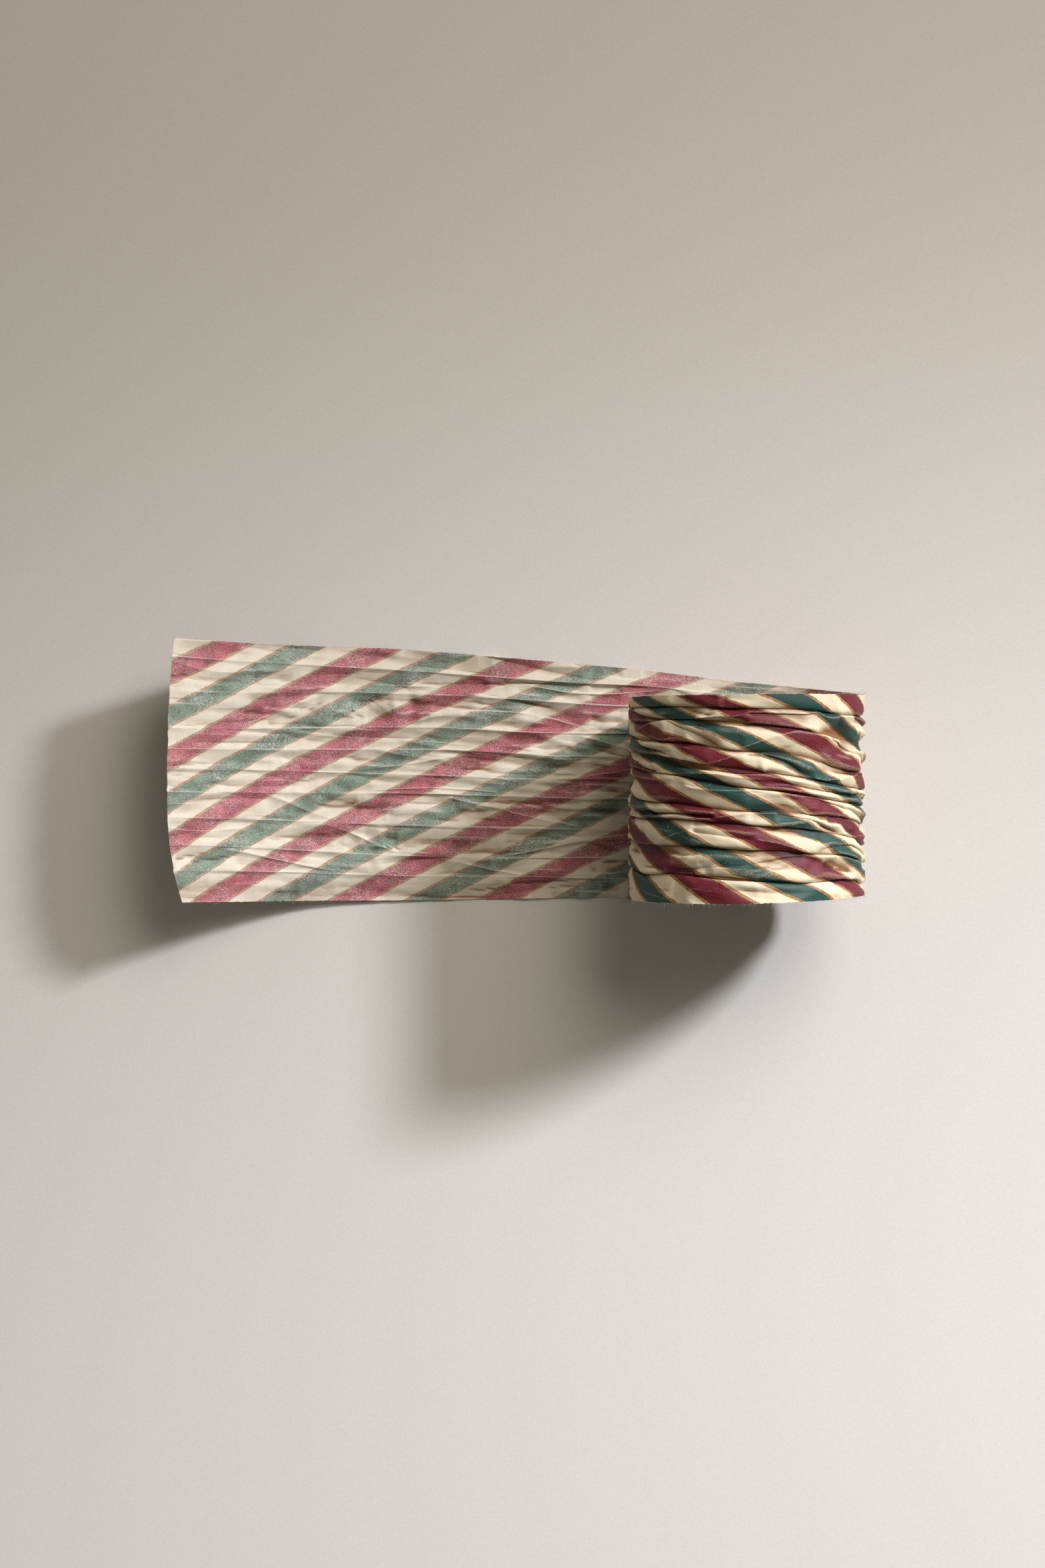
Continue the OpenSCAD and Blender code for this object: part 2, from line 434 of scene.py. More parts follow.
# %% Strip in space
CUT_TOP, CUT_LOW, END_REACH = 3.4, 7.6, 4.6
CUT_TURN, CUT_FADE = 0.45, 30
EDGE_FUZZ = 0.06
share = v / FLAT_W
above = np.clip((share - CUT_TURN) / (1 - CUT_TURN), 0, 1)
below = np.clip((CUT_TURN - share) / CUT_TURN, 0, 1)
ragged = np.convolve(rng.normal(size=share.shape[1] + 8), np.hanning(9) / 3, "valid")
cut = CUT_TOP * above ** 2 + CUT_LOW * below ** 2.5
cut = cut + 0.16 * ragged + 0.05 * rng.normal(size=share.shape[1])
cut = cut + 1.1 * (height[0] - height[0].mean()) - END_REACH
u_here = u[:, None] + cut * np.clip(1 - u[:, None] / CUT_FADE, 0, 1)
x, z, out_x, out_z = route(u_here, depth[:, None] - height)
fuzz = EDGE_FUZZ * rng.normal(size=(len(u), 2))
y[:, 0] += fuzz[:, 0]
y[:, -1] += fuzz[:, 1]
strip = np.stack([x, y, z], axis=-1)
END_PULL, ROLL_PULL = 4.2, 5.4
pulled = END_PULL * share * np.exp(-u_here / 16)
pulled += ROLL_PULL * (4 * share * (1 - share) - 0.4) * smooth((u_here - 325) / 35)
flat = np.stack([u_here, v - pulled], axis=-1)


def grid_normals(points, out_x, out_z):
    """Unit normals of a grid of points, on the printed side, which out_x and out_z point to."""
    along = np.gradient(points, axis=0)
    over = np.gradient(points, axis=1)
    normal = np.cross(over, along)
    normal /= np.linalg.norm(normal, axis=-1, keepdims=True)
    return normal * np.sign((normal[..., 0] * out_x + normal[..., 2] * out_z).sum())


normals = grid_normals(strip, out_x, out_z)
bend = np.zeros_like(v)
bend[:, 1:-1] = -np.diff(tilt, axis=1)
bend[1:-1] = (bend[:-2] + 2 * bend[1:-1] + bend[2:]) / 4
# How deep each point lies below the crests near it; the materials paint shade into the colour by it.
sunk = np.clip((depth[:, None] - height) / spread_max(np.ptp(height, axis=1), CREST_REACH)[:, None], 0, 1)
print(f"strip {strip[..., 1].min():.1f} to {strip[..., 1].max():.1f} in y, lowest {strip[..., 2].min():.2f}")

# %% [markdown]
# ## From grid to paper
# A sheet of paper is two skins a tenth of a millimetre apart, with a cut edge between them. The printed skin,
# the plain back and the edge get a material each. The flat place of every point, in millimetres, is kept as
# an attribute called flat, and the print is painted from it, so that the stripes break where the paper folds.

# %% Paper mesh


def add_mesh(name, points, faces, slots, flat=None, values=None, uv=None, indices=None):
    """A mesh object from points in millimetres, with its materials and attributes."""
    mesh = bpy.data.meshes.new(name)
    mesh.from_pydata((np.asarray(points) * MM).tolist(), [], faces)
    for material in slots:
        mesh.materials.append(material)
    if indices is not None:
        mesh.polygons.foreach_set("material_index", indices)
    if flat is not None:
        layer = mesh.attributes.new("flat", "FLOAT_VECTOR", "POINT")
        layer.data.foreach_set("vector", np.asarray(flat, np.float32).ravel())
    for key, value in (values or {}).items():
        layer = mesh.attributes.new(key, "FLOAT", "POINT")
        layer.data.foreach_set("value", np.asarray(value, np.float32))
    if uv is not None:
        corners = np.empty(len(mesh.loops), np.int32)
        mesh.loops.foreach_get("vertex_index", corners)
        layer = mesh.uv_layers.new(name="OFBake")
        layer.uv.foreach_set("vector", np.asarray(uv, np.float32)[corners].ravel())
    mesh.polygons.foreach_set("use_smooth", np.ones(len(mesh.polygons), bool))
    mesh.update()
    piece = bpy.data.objects.new(name, mesh)
    bpy.context.collection.objects.link(piece)
    return piece


def paper(name, points, normals, flat, bend, sunk, slots):
    """A closed, two-sided sheet around a grid of points. slots are the printed side, back and edge."""
    rows, wide = points.shape[:2]
    count = rows * wide
    index = np.arange(count).reshape(rows, wide)
    quads = np.stack([index[:-1, :-1], index[:-1, 1:], index[1:, 1:], index[1:, :-1]], -1).reshape(-1, 4)
    first = quads[0]
    facing = np.cross(points.reshape(-1, 3)[first[1]] - points.reshape(-1, 3)[first[0]],
                      points.reshape(-1, 3)[first[3]] - points.reshape(-1, 3)[first[0]])
    if facing @ normals.reshape(-1, 3)[first[0]] < 0:
        quads = quads[:, ::-1]
    rim = np.concatenate([index[0, :], index[1:, -1], index[-1, -2::-1], index[-2:0:-1, 0]])
    ahead = np.roll(rim, -1)
    edge = np.stack([rim, ahead, ahead + count, rim + count], -1)
    faces = np.concatenate([quads, quads[:, ::-1] + count, edge])
    skin = np.concatenate([points + normals * PAPER / 2, points - normals * PAPER / 2]).reshape(-1, 3)
    place = np.dstack([flat, np.zeros((rows, wide))]).reshape(-1, 3)
    where = np.stack([np.repeat(np.linspace(0.01, 0.99, rows), wide),
                      np.tile(np.linspace(0.01, 0.48, wide), rows)], -1)
    indices = np.repeat([0, 1, 2], [len(quads), len(quads), len(edge)])
    piece = add_mesh(name, skin, faces.tolist(), slots, flat=np.concatenate([place, place]),
                     values={"ridge": np.concatenate([bend.ravel(), -bend.ravel()]),
                             "sunk": np.concatenate([sunk.ravel(), 1 - sunk.ravel()])},
                     uv=np.concatenate([where, where + [0, 0.51]]), indices=indices)
    corner_line = piece.data.attributes.new("sharp_edge", "BOOLEAN", "EDGE")
    ends = np.empty(2 * len(piece.data.edges), np.int32)
    piece.data.edges.foreach_get("vertices", ends)
    on_rim = np.zeros(2 * count, bool)
    on_rim[rim] = on_rim[rim + count] = True
    ends = ends.reshape(-1, 2)
    corner_line.data.foreach_set("value", on_rim[ends[:, 0]] & on_rim[ends[:, 1]])
    print(f"{name}: {rows} by {wide} grid, {len(faces)} faces")
    return piece

# %% [markdown]
# ## Writing shader maths as sums
# A material is a graph of nodes, and a stripe pattern needs a dozen small sums. One class wraps a socket so
# that an ordinary expression adds the Math nodes, and one method makes any other node with its settings.

# %% Shader arithmetic


class Value:
    """A number flowing through a material. Arithmetic on it adds Math nodes."""

    def __init__(self, graph, socket):
        self.graph = graph
        self.socket = socket

    def __add__(self, other):
        return self.graph.sum("ADD", self, other)

    def __radd__(self, other):
        return self.graph.sum("ADD", other, self)

    def __sub__(self, other):
        return self.graph.sum("SUBTRACT", self, other)

    def __rsub__(self, other):
        return self.graph.sum("SUBTRACT", other, self)

    def __mul__(self, other):
        return self.graph.sum("MULTIPLY", self, other)

    def __rmul__(self, other):
        return self.graph.sum("MULTIPLY", other, self)

    def __abs__(self):
        return self.graph.sum("ABSOLUTE", self)

    def fract(self):
        return self.graph.sum("FRACT", self)

    def ramp(self, low, high):
        """0 below low, 1 above high, with soft ends. low may be the larger one."""
        return self.graph.node(
            "ShaderNodeMapRange", {"interpolation_type": "SMOOTHSTEP"},
            {"Value": self, "From Min": low, "From Max": high},
        )


class Graph:
    """The node tree of one new material."""

    def __init__(self, name):
        self.material = bpy.data.materials.new(name)
        self.material.use_nodes = True
        self.tree = self.material.node_tree
        self.shader = self.tree.nodes["Principled BSDF"]

    def put(self, socket, value):
        if isinstance(value, Value):
            self.tree.links.new(value.socket, socket)
        else:
            socket.default_value = value

    def node(self, kind, settings, inputs, output=0):
        made = self.tree.nodes.new(kind)
        for key, value in settings.items():
            setattr(made, key, value)
        for key, value in inputs.items():
            self.put(made.inputs[key], value)
        return Value(self, made.outputs[output])

    def sum(self, operation, *terms):
        return self.node("ShaderNodeMath", {"operation": operation}, dict(enumerate(terms)))

    def mix(self, share, first, second, blend="MIX"):
        """A colour between two. Sockets 6 and 7 are the Mix node's colours, and output 2 is its result."""
        settings = {"data_type": "RGBA", "blend_type": blend}
        return self.node("ShaderNodeMix", settings, {0: share, 6: first, 7: second}, 2)

    def attribute(self, name, output):
        return self.node("ShaderNodeAttribute", {"attribute_name": name}, {}, output)

    def parts(self, vector, count):
        """The first few coordinates of a vector."""
        return [self.node("ShaderNodeSeparateXYZ", {}, {0: vector}, axis) for axis in range(count)]

    def stretch(self, vector, scale, turn=0.0):
        """The vector turned in its plane, in degrees, and then stretched."""
        turned = self.node("ShaderNodeVectorRotate", {"rotation_type": "Z_AXIS"},
                           {"Vector": vector, "Angle": math.radians(turn)})
        return self.node("ShaderNodeVectorMath", {"operation": "MULTIPLY"}, {0: turned, 1: scale})

    def noise(self, vector, scale, detail=2.0, rough=0.5):
        return self.node("ShaderNodeTexNoise", {},
                         {"Vector": vector, "Scale": scale, "Detail": detail, "Roughness": rough})

    def finish(self, settings, bump=None, relief=0.0):
        """Sets the shader's sockets, and a bump of that many millimetres if there is one."""
        for key, value in settings.items():
            self.put(self.shader.inputs[key], value)
        if bump is not None:
            inputs = {"Strength": 1.0, "Distance": relief * MM, "Height": bump}
            normal = self.node("ShaderNodeBump", {}, inputs)
            self.put(self.shader.inputs["Normal"], normal)
        return self.material


def tint(red, green, blue):
    """A colour given as it looks on a screen, 0 to 255, in the linear numbers that shaders use."""
    linear = [((c / 255 + 0.055) / 1.055) ** 2.4 if c > 10 else c / 255 / 12.92 for c in (red, green, blue)]
    return (*linear, 1.0)


# %% [markdown]
# ## The print
# Burgundy and green stripes slant across cream, each with an ochre line along both sides. The pattern repeats
# every 30 mm or so across the strip and climbs a little over half a millimetre per millimetre along it. The
# edges wobble as if brushed, so the distance to a stripe is shifted by two sizes of noise before it is cut.

# %% Stripe masks
PERIOD, CLIMB, START = 30.4, 0.544, 8.5
BURGUNDY_HALF, GREEN_HALF, LINE_W = 3.8, 3.35, 0.95
# Painted shade: the warm brown that the colour is multiplied by down in the folds.
PAINTED_FOLD_SHADE = tint(146, 108, 70)


def stripes(graph, flat, soft, line_w):
    """Masks of the burgundy, the green and the ochre lines; soft is how blurred their edges are."""
    along, across = graph.parts(flat, 2)
    wobble = (graph.noise(flat, 0.22) - 0.5) * 0.9 + (graph.noise(flat, 1.4, 3.0) - 0.5) * 0.5
    phase = (across - along * CLIMB + wobble + START) * (1 / PERIOD)
    burgundy_off = abs((phase + 0.5).fract() - 0.5) * PERIOD
    green_off = abs(phase.fract() - 0.5) * PERIOD
    burgundy = burgundy_off.ramp(BURGUNDY_HALF + soft, BURGUNDY_HALF - soft)
    green = green_off.ramp(GREEN_HALF + soft, GREEN_HALF - soft)
    thin = (graph.noise(flat, 0.5, 3.0) - 0.5) * 0.9
    ring = burgundy_off.ramp(BURGUNDY_HALF + line_w + soft * 1.6, BURGUNDY_HALF + line_w - soft * 1.6)
    ring_green = green_off.ramp(GREEN_HALF + line_w + soft * 1.6, GREEN_HALF + line_w - soft * 1.6)
    ochre = (ring - burgundy + ring_green - green) * (0.92 + thin)
    return burgundy, green, ochre


def painted_fold_shade(graph, base, ridge, sunk, most):
    """Painted shade: the colour, warmer and darker down in the folds, where light only comes after it has met
    more paper.
    """
    low = sunk.ramp(0.50, 1.0) * most + (ridge * -1.3).ramp(0.10, 0.7) * 0.5
    return graph.mix(low, base, PAINTED_FOLD_SHADE, "MULTIPLY")


def fibres(graph, flat, width=0.28, length=2.6):
    """Paper fibres lying three ways, 0 to 1, brighter along a fibre."""
    total = None
    for turn in (8, 62, -48):
        one = graph.noise(graph.stretch(flat, (1 / length, 1 / width, 1), turn), 1.0, 2.0, 0.6)
        total = one if total is None else total + one
    return total * (1 / 3)


# %% [markdown]
# The printed side is cream stock under two inks. Each ink is a little patchy where the stock is rough, and it
# is rubbed off along the ridges of the folds, so the stripes fade there into the paper's own colour.

# %% Printed side
CREAM = tint(238, 224, 194)
CREAM_DEEP = tint(218, 198, 160)
CREAM_PALE = tint(246, 238, 216)
BURGUNDY = tint(116, 12, 38)
BURGUNDY_DEEP = tint(76, 8, 26)
GREEN = tint(34, 80, 74)
GREEN_DEEP = tint(18, 50, 48)
OCHRE = tint(178, 116, 30)
OCHRE_DEEP = tint(134, 84, 26)


def printed_side():
    """Cream paper with the inks on it."""
    graph = Graph("printed paper")
    flat = graph.attribute("flat", "Vector")
    ridge = graph.attribute("ridge", "Fac")
    burgundy, green, ochre = stripes(graph, flat, 0.12, LINE_W)
    fibre = fibres(graph, flat)
    cloud = graph.noise(flat, 0.12, 4.0, 0.6)
    grain = graph.noise(flat, 2.2, 4.0, 0.75)
    speck = graph.noise(flat, 3.4, 2.0, 0.7)
    worn = (ridge * 1.4).ramp(0.30, 0.9) * grain.ramp(0.42, 0.58)
    hold = 1 - speck.ramp(0.54, 0.68) * 0.13 - worn * 0.34
    base = graph.mix(cloud.ramp(0.35, 0.75) * 0.6, CREAM, CREAM_DEEP)
    base = graph.mix(fibre.ramp(0.50, 0.64) * 0.35 + speck.ramp(0.52, 0.7) * 0.2, base, CREAM_PALE)
    base = graph.mix(ochre * hold, base, graph.mix(grain.ramp(0.40, 0.62), OCHRE, OCHRE_DEEP))
    dark = speck.ramp(0.50, 0.36) * 0.55 + grain.ramp(0.42, 0.62) * 0.45
    base = graph.mix(burgundy * hold, base, graph.mix(dark, BURGUNDY, BURGUNDY_DEEP))
    base = graph.mix(green * hold, base, graph.mix(dark, GREEN, GREEN_DEEP))
    # Painted shade down in the folds, by how deep a point lies and how sharp its valley is.
    base = painted_fold_shade(graph, base, ridge, graph.attribute("sunk", "Fac"), 0.95)
    ink = burgundy + green
    rough = 0.62 - ink * 0.12 + speck * 0.16 + worn * 0.1
    relief = fibre * 0.4 + grain * 0.4 + speck * 0.4
    return graph.finish({"Base Color": base, "Roughness": rough, "Specular IOR Level": 0.45}, relief, 0.10)


# %% [markdown]
# ## The plain side
# The back is the bare paper. The print shows through it, softer and paler, and the long fibres lie over it
# like a silvery nap. The nap is partly the fibres' own pale colour and partly a painted sheen, strongest in
# patches and along the ridges of the folds, so everything there is one step lighter and rougher than on the
# front.

# %% Plain side
BACK_CREAM = tint(236, 227, 207)
BACK_SHADE = tint(214, 200, 174)
BACK_PINK = tint(184, 66, 90)
BACK_PINK_DEEP = tint(140, 34, 58)
BACK_GREEN = tint(112, 142, 122)
BACK_GREEN_DEEP = tint(72, 98, 82)
BACK_LINE = tint(168, 118, 62)
# Near white for the pale fibres and the painted sheen over the back.
NAP_AND_SHEEN = tint(250, 246, 238)


def plain_side():
    """Bare paper with the print showing through."""
    graph = Graph("plain paper")
    flat = graph.attribute("flat", "Vector")
    ridge = graph.attribute("ridge", "Fac")
    burgundy, green, ochre = stripes(graph, flat, 0.22, 0.80)
    fibre = fibres(graph, flat, 0.30, 2.0)
    speck = graph.noise(flat, 2.7, 3.0, 0.75)
    cloud = graph.noise(flat, 0.16, 4.0, 0.65)
    patch = graph.noise(flat, 0.075, 2.0, 0.5)
    base = graph.mix(cloud.ramp(0.35, 0.75) * 0.7, BACK_CREAM, BACK_SHADE)
    base = graph.mix(ochre, base, BACK_LINE)
    base = graph.mix(burgundy * 0.97, base, graph.mix(cloud.ramp(0.38, 0.68), BACK_PINK, BACK_PINK_DEEP))
    base = graph.mix(green * 0.97, base, graph.mix(cloud.ramp(0.38, 0.68), BACK_GREEN, BACK_GREEN_DEEP))
    # Pale fibres plus a painted silvery sheen, in patches and along the ridges, mixed towards near white.
    nap_and_sheen = fibre.ramp(0.47, 0.62) * (0.05 + patch.ramp(0.40, 0.66) * 0.5) + speck.ramp(0.50, 0.62) * 0.46
    nap_and_sheen = nap_and_sheen + (ridge * 1.3).ramp(0.2, 0.8) * 0.34
    base = graph.mix(nap_and_sheen, base, NAP_AND_SHEEN)
    # Painted shade in the folds of the back too, weaker than on the printed side.
    base = painted_fold_shade(graph, base, ridge, graph.attribute("sunk", "Fac"), 0.45)
    rough = 0.62 + fibre * 0.14 - nap_and_sheen * 0.12
    return graph.finish(
        {"Base Color": base, "Roughness": rough, "Specular IOR Level": 0.55,
         "Sheen Weight": 0.30, "Sheen Roughness": 0.45},
        fibre * 0.4 + speck * 0.7, 0.10)


def cut_edge():
    """The raw edge of the sheet."""
    graph = Graph("cut paper edge")
    flat = graph.attribute("flat", "Vector")
    fine = graph.noise(flat, 5.0, 3.0, 0.7)
    base = graph.mix(fine.ramp(0.4, 0.65), tint(236, 228, 208), tint(206, 190, 160))
    return graph.finish({"Base Color": base, "Roughness": 0.8}, fine, 0.03)


PRINTED, PLAIN, EDGE = printed_side(), plain_side(), cut_edge()
PAPER_SLOTS = [PRINTED, PLAIN, EDGE]
print("made", [material.name for material in PAPER_SLOTS])

# %% [markdown]
# ## Three pieces of one strip
# The strip crosses two joints, and a piece can bend over only one, so it is cut into three where nothing
# moves: the free end and its bend, the run on the table, and the turn round the roll. Rows at the cuts are
# shared, so no seam shows.

# %% Strip pieces


def part(name, first, last):
    """One piece of the strip, from its first row to its last."""
    rows = slice(first, last + 1)
    return paper(name, strip[rows], normals[rows], flat[rows], bend[rows], sunk[rows], PAPER_SLOTS)


tail = part("tail_sheet", 0, TAIL_END_ROW)
run = part("run_sheet", TAIL_END_ROW, RUN_END_ROW)
wrap = part("wrap_sheet", RUN_END_ROW, len(u) - 1)

# %% [markdown]
# ## The turns inside
# Under the outermost turn the strip goes on round the tube for another fourteen and a half turns. Only its
# edges show, as a crumpled spiral at both ends of the roll, so its columns are fine only near them. Its folds
# come round again on every turn and shift a little each time, so that the turns nest inside each other, as
# they do when a gathered strip is wound up.

# %% Route of the turns inside
TURNS, ROWS_A_TURN = 15, 58
COIL_FOLDS, EDGE_COLUMNS = 22, 8
COIL_FOLD_H = 1.75
OUT_CLEAR, TAPE_CLEAR = 0.1, 0.15
coil_sweep = 2 * np.pi * TURNS - (TURN_ANGLE - np.pi - TAPE_REACH)
wound = np.linspace(0, coil_sweep, int(ROWS_A_TURN * coil_sweep / (2 * np.pi)))
outer_mid = COIL_R - OUT_CLEAR - COIL_FOLD_H / 2
inner_mid = TAPE_R + TAPE_CLEAR + COIL_FOLD_H / 2
wound_r = outer_mid + (inner_mid - outer_mid) * wound / coil_sweep
wound_u = np.concatenate([[0], np.cumsum(wound_r[1:] * np.diff(wound))])
print(f"{coil_sweep / 2 / math.pi:.1f} turns, {wound_u[-1] / 1000:.2f} m of strip,",
      f"{wound_r[0] - wound_r[ROWS_A_TURN]:.2f} mm apart")


def ring(waves, drift):
    """A line between about -1 and 1 that comes round on every turn, shifted a little each time."""
    total = 0
    for wave in waves:
        total = total + np.sin(wave * wound + rng.uniform(0, 6.28) + rng.normal(0, drift) * wound / 6.28)
    return total / len(waves) * 1.3


# %% [markdown]
# A fold in the middle of the strip is hidden, so it needs only its crest. The two outermost folds show as the
# crumpled edge, so they are drawn finely, and turn down and flare by turns. The tilts are then brought to the
# gathered width in the same way as before.

# %% Folds of the turns inside
coil_w = np.array([np.exp(0.22 * ring((1, 2, 3, 5), 0.2)) for _ in range(COIL_FOLDS)])
coil_lines = np.vstack([np.zeros(len(wound)), np.cumsum(coil_w, axis=0) / coil_w.sum(axis=0)]).T * FLAT_W
coil_dv, coil_tilt = [], []
for fold in range(COIL_FOLDS):
    wide = coil_lines[:, fold + 1] - coil_lines[:, fold]
    if fold in (0, COIL_FOLDS - 1):
        shares = np.full((EDGE_COLUMNS, len(wound)), 1 / EDGE_COLUMNS)
        t = (np.arange(EDGE_COLUMNS) + 0.5)[:, None] / EDGE_COLUMNS
        flare = 0.9 * ring((3, 5, 8, 13), 0.35) + 0.55 * wander(wound_u, 9)
        turned_down = t if fold == 0 else 1 - t
        slopes = -np.sin(np.pi * turned_down) ** 1.5 + (flare * (1 - turned_down) ** 1.6)
        slopes = slopes if fold == 0 else -slopes
    else:
        crest = 0.5 + 0.16 * ring((2, 3, 7), 0.25)
        shares = np.stack([crest, 1 - crest])
        slopes = np.stack([np.sqrt((1 - crest) / crest), -np.sqrt(crest / (1 - crest))])
    coil_dv.append(shares * wide)
    coil_tilt.append(slopes)
coil_dv, coil_tilt = np.concatenate(coil_dv).T, np.concatenate(coil_tilt).T
stand_back = np.array([0.6 + 0.35 * wander(wound_u, 55) + 0.25 * wander(wound_u, 12) for _ in range(2)])
coil_half = np.array([-1, 1])[:, None] * (corner("wound_ribbon", 1, 1) - stand_back)
coil_span = (coil_half[1] - coil_half[0])[:, None]
coil_tilt = gather(coil_tilt, np.zeros_like(coil_tilt), coil_dv, coil_span)
coil_v = np.concatenate([np.zeros((len(wound), 1)), np.cumsum(coil_dv, axis=1)], axis=1)
coil_y = np.concatenate([np.zeros((len(wound), 1)), np.cumsum(np.cos(coil_tilt) * coil_dv, axis=1)], axis=1)
coil_y += coil_half[0][:, None]
coil_h = np.concatenate([np.zeros((len(wound), 1)), np.cumsum(np.sin(coil_tilt) * coil_dv, axis=1)], axis=1)
valley_at = np.arange(EDGE_COLUMNS, coil_h.shape[1] - EDGE_COLUMNS, 2)
for row in range(len(wound)):
    coil_h[row] -= np.interp(coil_v[row], coil_v[row, valley_at], coil_h[row, valley_at])
coil_h = COIL_FOLD_H / 2 * np.tanh((coil_h * 2 / COIL_FOLD_H - 1) * 1.1)
print(f"folds from {coil_h.min():.2f} to {coil_h.max():.2f} mm about their middle")

# %% [markdown]
# The folds are now wound on the spiral. The edges of the turns stand back from the roll's ends by their own
# small amounts, which gives the ends their grooved look.

# %% Sheet of the turns inside
turn_at = (TURN_ANGLE + wound)[:, None]
coil_r = np.clip(wound_r[:, None] + coil_h, TAPE_R + 0.12, COIL_R - 0.08)
coil_y[:, [0, -1]] += 0.05 * rng.normal(size=(len(wound), 2))
coil_points = np.stack([coil_r * np.sin(turn_at), coil_y, -coil_r * np.cos(turn_at)], axis=-1)
coil_normals = grid_normals(coil_points, np.sin(turn_at), -np.cos(turn_at))
coil_flat = np.stack([np.broadcast_to(END_U + wound_u[:, None], coil_v.shape), coil_v], axis=-1)
coil_bend = np.zeros_like(coil_v)
coil_bend[:, 1:-1] = -np.diff(coil_tilt, axis=1)
# The same depth for the turns inside, which sets the painted shade in their folds.
coil_sunk = 0.5 - coil_h / COIL_FOLD_H
coil = paper("coil_sheet", coil_points, coil_normals, coil_flat, coil_bend, coil_sunk, PAPER_SLOTS)

# %% [markdown]
# ## Loose fibres
# Soft paper frays. Short pale fibres stand out along its cut edges and from the ridges of its folds, and
# make the outline look like paper and not like plastic film. Each is a thin three-sided hair that starts at a
# point of the sheet, so the fibres are moved in the same way as their sheet.

# %% Fibre mesh
HAIR_R = 0.035


def fibre_skin():
    """Pale fibre, a little different from hair to hair."""
    graph = Graph("loose fibres")
    flat = graph.attribute("flat", "Vector")
    pick = graph.noise(flat, 3.0, 2.0)
    base = graph.mix(pick.ramp(0.35, 0.65), tint(246, 240, 226), tint(214, 190, 150))
    return graph.finish({"Base Color": base, "Roughness": 0.6, "Sheen Weight": 0.4}, pick, 0.01)


FIBRE = fibre_skin()


def hairs(name, roots, ways, flats, longest):
    """Hairs of up to that length, which start at the roots, lean along ways and curl as they please."""
    count, joints_each = len(roots), 5
    t = np.linspace(0, 1, joints_each)[None, :, None]
    length = (longest * rng.uniform(0.25, 1.0, count) ** 1.8)[:, None, None]
    ways = ways / np.linalg.norm(ways, axis=1, keepdims=True)
    curl = rng.normal(0, 0.45, (count, 3))
    line = roots[:, None] + length * (ways[:, None] * (t - 0.06) + curl[:, None] * t ** 2)
    line[..., 2] = np.maximum(line[..., 2], TABLE + HAIR_R)
    side = np.cross(ways, rng.normal(size=(count, 3)))
    side /= np.linalg.norm(side, axis=1, keepdims=True)
    other = np.cross(ways, side)
    rings = []
    for turn in (0, 2 * np.pi / 3, 4 * np.pi / 3):
        out = side * math.cos(turn) + other * math.sin(turn)
        rings.append(line + out[:, None] * HAIR_R * (1 - 0.7 * t))
    points = np.stack(rings, axis=2).reshape(-1, 3)
    faces = []
    for hair in range(count):
        first = hair * joints_each * 3
        faces.append((first + 2, first + 1, first))
        for step in range(joints_each - 1):
            low = first + 3 * step
            faces += [(low + k, low + (k + 1) % 3, low + 3 + (k + 1) % 3, low + 3 + k) for k in range(3)]
        tip = first + 3 * (joints_each - 1)
        faces.append((tip, tip + 1, tip + 2))
    place = np.repeat(np.column_stack([flats, np.zeros(count)]), joints_each * 3, axis=0)
    print(f"{name}: {count} hairs")
    return add_mesh(name, points, faces, [FIBRE], flat=place)


# %% [markdown]
# Edges fray most, all along their length. Inside the sheet, fibres lift where it is bent most sharply, on the
# side that is seen.

# %% Fibres along the edges and ridges


def edge_hairs(points, flats, count):
    """Roots and directions along the two long edges of a grid, out from the paper and a little up."""
    row = rng.integers(1, len(points) - 1, count)
    column = rng.choice([0, -1], count)
    outwards = np.where(column == 0, -1, 1)
    ways = np.column_stack([rng.normal(0, 0.6, count), outwards, rng.normal(0.1, 0.4, count)])
    return points[row, column], ways, flats[row, column]


def ridge_hairs(points, outward, flats, bends, count):
    """Roots and directions on the sharpest folds of a grid, lying nearly along the paper."""
    sharp = np.argsort((bends[1:-1] * rng.uniform(0.2, 1, bends[1:-1].shape)).ravel())[-count:]
    row, column = np.unravel_index(sharp, bends[1:-1].shape)
    out = outward[row + 1, column]
    ways = out * rng.uniform(0.15, 0.9, count)[:, None] + rng.normal(0, 0.7, (count, 3))
    return points[row + 1, column] + out * PAPER / 2, ways, flats[row + 1, column]


def fray(name, rows, side, edges, ridges, longest):
    """The fibres of the strip's rows. side is 1 where the printed side is seen, and -1 where the back is."""
    at_edge = edge_hairs(strip[rows], flat[rows], edges)
    at_ridge = ridge_hairs(strip[rows], normals[rows] * side, flat[rows], bend[rows] * side, ridges)
    roots, ways, flats = (np.concatenate(pair) for pair in zip(at_edge, at_ridge))
    return hairs(name, roots, ways, flats, longest)


tail_fibres = fray("tail_fibres", slice(0, TAIL_END_ROW), -1, 300, 60, 1.2)
END_HAIRS = 60
end_columns = rng.integers(0, strip.shape[1], END_HAIRS)
end_ways = np.column_stack([
    -np.ones(END_HAIRS), rng.normal(0, 0.6, END_HAIRS), 0.8 + rng.normal(0, 0.4, END_HAIRS),
])
end_fibres = hairs("free_end_fibres", strip[0, end_columns], end_ways, flat[0, end_columns], 0.9)
run_fibres = fray("run_fibres", slice(TAIL_END_ROW, RUN_END_ROW), -1, 380, 100, 1.3)
wrap_fibres = fray("wrap_fibres", slice(RUN_END_ROW, len(u)), 1, 1100, 260, 1.5)
coil_fibres = hairs("coil_fibres", *edge_hairs(coil_points, coil_flat, 500), 1.3)

# %% [markdown]
# ## The tube and the tape
# The tube is three plies of brown board, each a ribbon wound on a slant and glued to the one inside it, so a
# seam runs round it like the stripe of a barber's pole. The strip's inner end is held by a piece of thin tape
# with a matt, slightly quilted face. These four are the CAD's own shapes with a better finish.

# %% Cardboard and tape
SEAM_CLIMB = 46.0


